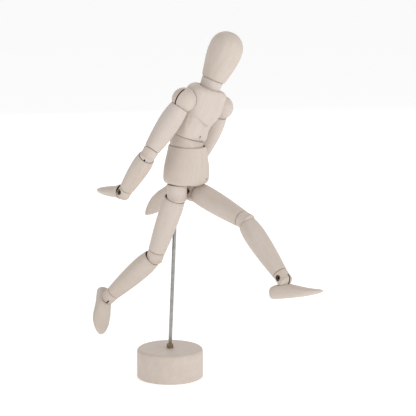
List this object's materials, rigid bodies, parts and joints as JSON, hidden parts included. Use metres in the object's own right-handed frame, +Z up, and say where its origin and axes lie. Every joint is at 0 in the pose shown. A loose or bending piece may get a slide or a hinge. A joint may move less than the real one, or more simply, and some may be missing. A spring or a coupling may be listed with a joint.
{
  "type": "jointed wooden artist's manikin on a stand",
  "caption": "Faceless wooden figure with drum and ball joints at every limb, posed running, held on a thin steel rod over a turned round base.",
  "frame": {"origin": "centre of the base's underside", "axes": "+Z up, the figure's hips face -Y, its left side is +X"},
  "size_m": [0.0899, 0.2055, 0.2715],
  "materials": {
    "birch": "bare, finely sanded",
    "rod_steel": "drawn wire",
    "socket_brass": "dull",
    "rivet_bronze": "darkened"
  },
  "bodies": {
    "stand": {"stand_base": "birch", "rod_socket": "socket_brass", "support_rod": "rod_steel"},
    "hips": {"pelvis": "birch", "pelvis_pin": "rod_steel"},
    "torso_core": {"torso_spring": "rod_steel"},
    "waist": {"waist_drum": "birch"},
    "chest": {"chest": "birch", "chest_pin": "rod_steel"},
    "neck": {"neck": "birch"},
    "neck_core": {"neck_spring": "rod_steel"},
    "head": {"head": "birch"},
    "right_shoulder": {"right_shoulder_ball": "birch", "right_shoulder_rivet": "rivet_bronze"},
    "right_upper_arm": {"right_shoulder_link": "rod_steel", "right_upper_arm": "birch"},
    "right_elbow": {"right_elbow_drum": "birch", "right_elbow_rivet": "rivet_bronze"},
    "right_forearm": {"right_elbow_link": "rod_steel", "right_forearm": "birch"},
    "right_wrist": {"right_wrist_drum": "birch", "right_wrist_rivet": "rivet_bronze"},
    "right_hand": {"right_wrist_link": "rod_steel", "right_hand": "birch"},
    "right_hip": {"right_hip_drum": "birch", "right_hip_rivet": "rivet_bronze"},
    "right_thigh": {"right_hip_link": "rod_steel", "right_thigh": "birch"},
    "right_knee": {"right_knee_drum": "birch", "right_knee_rivet": "rivet_bronze"},
    "right_shin": {"right_knee_link": "rod_steel", "right_shin": "birch"},
    "right_ankle": {"right_ankle_drum": "birch", "right_ankle_rivet": "rivet_bronze"},
    "right_ankle_link": {"right_ankle_link": "rod_steel"},
    "right_foot": {"right_foot": "birch"},
    "left_shoulder": {"left_shoulder_ball": "birch", "left_shoulder_rivet": "rivet_bronze"},
    "left_upper_arm": {"left_shoulder_link": "rod_steel", "left_upper_arm": "birch"},
    "left_elbow": {"left_elbow_drum": "birch", "left_elbow_rivet": "rivet_bronze"},
    "left_forearm": {"left_elbow_link": "rod_steel", "left_forearm": "birch"},
    "left_wrist": {"left_wrist_drum": "birch", "left_wrist_rivet": "rivet_bronze"},
    "left_hand": {"left_wrist_link": "rod_steel", "left_hand": "birch"},
    "left_hip": {"left_hip_drum": "birch", "left_hip_rivet": "rivet_bronze"},
    "left_thigh": {"left_hip_link": "rod_steel", "left_thigh": "birch"},
    "left_knee": {"left_knee_drum": "birch", "left_knee_rivet": "rivet_bronze"},
    "left_shin": {"left_knee_link": "rod_steel", "left_shin": "birch"},
    "left_ankle": {"left_ankle_drum": "birch", "left_ankle_rivet": "rivet_bronze"},
    "left_ankle_link": {"left_ankle_link": "rod_steel"},
    "left_foot": {"left_foot": "birch"}
  },
  "joints": [
    {"name": "stand_turn", "type": "hinge", "parent": "stand", "child": "hips", "pos_m": [0, -0.00795, 0.15676], "axis": [0, -0.0593, 0.9982], "continuous": true},
    {"name": "torso_lean", "type": "hinge", "parent": "hips", "child": "torso_core", "pos_m": [0, -0.0198, 0.18762], "axis": [1, 0, 0], "range_deg": [-26.5, 9.5]},
    {"name": "torso_side", "type": "hinge", "parent": "torso_core", "child": "waist", "pos_m": [0, -0.0198, 0.18762], "axis": [0, 0.9516, 0.3074], "range_deg": [-29, 4]},
    {"name": "torso_turn", "type": "hinge", "parent": "waist", "child": "chest", "pos_m": [0, -0.0198, 0.18762], "axis": [0.225, -0.2995, 0.9272], "range_deg": [-35, 32]},
    {"name": "neck_lean", "type": "hinge", "parent": "chest", "child": "neck", "pos_m": [0.01046, -0.03372, 0.23073], "axis": [0.973, 0.1188, -0.1977], "range_deg": [-20, 20]},
    {"name": "head_tilt", "type": "hinge", "parent": "neck", "child": "neck_core", "pos_m": [0.01039, -0.03363, 0.23043], "axis": [-0.051, 0.9467, 0.3181], "range_deg": [-19, 15]},
    {"name": "head_turn", "type": "hinge", "parent": "neck_core", "child": "head", "pos_m": [0.01039, -0.03363, 0.23043], "axis": [0.2588, -0.2951, 0.9197], "range_deg": [-75, 75]},
    {"name": "right_shoulder_swing", "type": "hinge", "parent": "chest", "child": "right_shoulder", "pos_m": [-0.0162, -0.03217, 0.22184], "axis": [0.973, 0.1188, -0.1977], "range_deg": [-78, 72]},
    {"name": "right_arm_lift", "type": "hinge", "parent": "right_shoulder", "child": "right_upper_arm", "pos_m": [-0.0162, -0.03217, 0.22184], "axis": [-0.0392, 0.9297, 0.3662], "range_deg": [-6, 60]},
    {"name": "right_elbow_turn", "type": "hinge", "parent": "right_upper_arm", "child": "right_elbow", "pos_m": [-0.03883, -0.01749, 0.18214], "axis": [0.4714, -0.306, 0.8271], "range_deg": [-45, 60]},
    {"name": "right_elbow_bend", "type": "hinge", "parent": "right_elbow", "child": "right_forearm", "pos_m": [-0.03883, -0.01749, 0.18214], "axis": [0.5374, -0.644, -0.5445], "range_deg": [-50, 27]},
    {"name": "right_wrist_turn", "type": "hinge", "parent": "right_forearm", "child": "right_wrist", "pos_m": [-0.0382, 0.00993, 0.15033], "axis": [-0.0149, -0.6528, 0.7574], "range_deg": [-60, 60]},
    {"name": "right_wrist_bend", "type": "hinge", "parent": "right_wrist", "child": "right_hand", "pos_m": [-0.0382, 0.00993, 0.15033], "axis": [0.9832, -0.1475, -0.1077], "range_deg": [-65, 17]},
    {"name": "right_hip_turn", "type": "hinge", "parent": "hips", "child": "right_hip", "pos_m": [-0.0093, -0.01754, 0.14958], "axis": [0, -0.0593, 0.9982], "range_deg": [-1, 20]},
    {"name": "right_hip_bend", "type": "hinge", "parent": "right_hip", "child": "right_thigh", "pos_m": [-0.0093, -0.01754, 0.14958], "axis": [0.9962, 0.087, 0.0052], "range_deg": [-10, 6.5]},
    {"name": "right_knee_turn", "type": "hinge", "parent": "right_thigh", "child": "right_knee", "pos_m": [-0.01097, 0.00463, 0.09818], "axis": [0.0298, -0.3958, 0.9178], "range_deg": [-12, 45]},
    {"name": "right_knee_bend", "type": "hinge", "parent": "right_knee", "child": "right_shin", "pos_m": [-0.01097, 0.00463, 0.09818], "axis": [0.9411, 0.3206, 0.1077], "range_deg": [-15, 32]},
    {"name": "right_ankle_turn", "type": "hinge", "parent": "right_shin", "child": "right_ankle", "pos_m": [-0.02074, 0.04568, 0.06137], "axis": [0.1745, -0.733, 0.6575], "range_deg": [-45, 45]},
    {"name": "right_ankle_bend", "type": "hinge", "parent": "right_ankle", "child": "right_ankle_link", "pos_m": [-0.02074, 0.04568, 0.06137], "axis": [0.7215, -0.3592, -0.592], "range_deg": [-58, 32]},
    {"name": "right_foot_turn", "type": "hinge", "parent": "right_ankle_link", "child": "right_foot", "pos_m": [-0.02074, 0.04568, 0.06137], "axis": [0.0193, -0.8442, 0.5357], "range_deg": [-35, 35]},
    {"name": "left_shoulder_swing", "type": "hinge", "parent": "chest", "child": "left_shoulder", "pos_m": [0.03051, -0.02647, 0.21236], "axis": [0.973, 0.1188, -0.1977], "range_deg": [-87, 63]},
    {"name": "left_arm_lift", "type": "hinge", "parent": "left_shoulder", "child": "left_upper_arm", "pos_m": [0.03051, -0.02647, 0.21236], "axis": [0.0031, -0.8637, -0.504], "range_deg": [-5, 61]},
    {"name": "left_elbow_turn", "type": "hinge", "parent": "left_upper_arm", "child": "left_elbow", "pos_m": [0.03106, -0.00228, 0.1709], "axis": [-0.0116, -0.504, 0.8636], "range_deg": [-60, 60]},
    {"name": "left_elbow_bend", "type": "hinge", "parent": "left_elbow", "child": "left_forearm", "pos_m": [0.03106, -0.00228, 0.1709], "axis": [0.9076, -0.3679, -0.2025], "range_deg": [-38, 39]},
    {"name": "left_wrist_turn", "type": "hinge", "parent": "left_forearm", "child": "left_wrist", "pos_m": [0.0384, 0.03003, 0.14509], "axis": [-0.1747, -0.7692, 0.6146], "range_deg": [-60, 60]},
    {"name": "left_wrist_bend", "type": "hinge", "parent": "left_wrist", "child": "left_hand", "pos_m": [0.0384, 0.03003, 0.14509], "axis": [-0.3072, 0.6356, 0.7082], "range_deg": [-48, 34]},
    {"name": "left_hip_turn", "type": "hinge", "parent": "hips", "child": "left_hip", "pos_m": [0.0093, -0.01754, 0.14958], "axis": [0, -0.0593, 0.9982], "range_deg": [-20, 20]},
    {"name": "left_hip_bend", "type": "hinge", "parent": "left_hip", "child": "left_thigh", "pos_m": [0.0093, -0.01754, 0.14958], "axis": [-1, 0, 0], "range_deg": [-52, 1]},
    {"name": "left_knee_turn", "type": "hinge", "parent": "left_thigh", "child": "left_knee", "pos_m": [0.0093, -0.07068, 0.13191], "axis": [0, 0.9489, 0.3156], "range_deg": [-45, 45]},
    {"name": "left_knee_bend", "type": "hinge", "parent": "left_knee", "child": "left_shin", "pos_m": [0.0093, -0.07068, 0.13191], "axis": [0.9703, 0.0764, -0.2296], "range_deg": [-38, 35]},
    {"name": "left_ankle_turn", "type": "hinge", "parent": "left_shin", "child": "left_ankle", "pos_m": [0.00401, -0.11289, 0.09549], "axis": [0.0945, 0.7538, 0.6503], "range_deg": [-45, 45]},
    {"name": "left_ankle_bend", "type": "hinge", "parent": "left_ankle", "child": "left_ankle_link", "pos_m": [0.00401, -0.11289, 0.09549], "axis": [0.9942, -0.0381, -0.1003], "range_deg": [-81, 9]},
    {"name": "left_foot_turn", "type": "hinge", "parent": "left_ankle_link", "child": "left_foot", "pos_m": [0.00401, -0.11289, 0.09549], "axis": [0.1063, 0.2242, 0.9687], "range_deg": [-35, 35]}
  ]
}
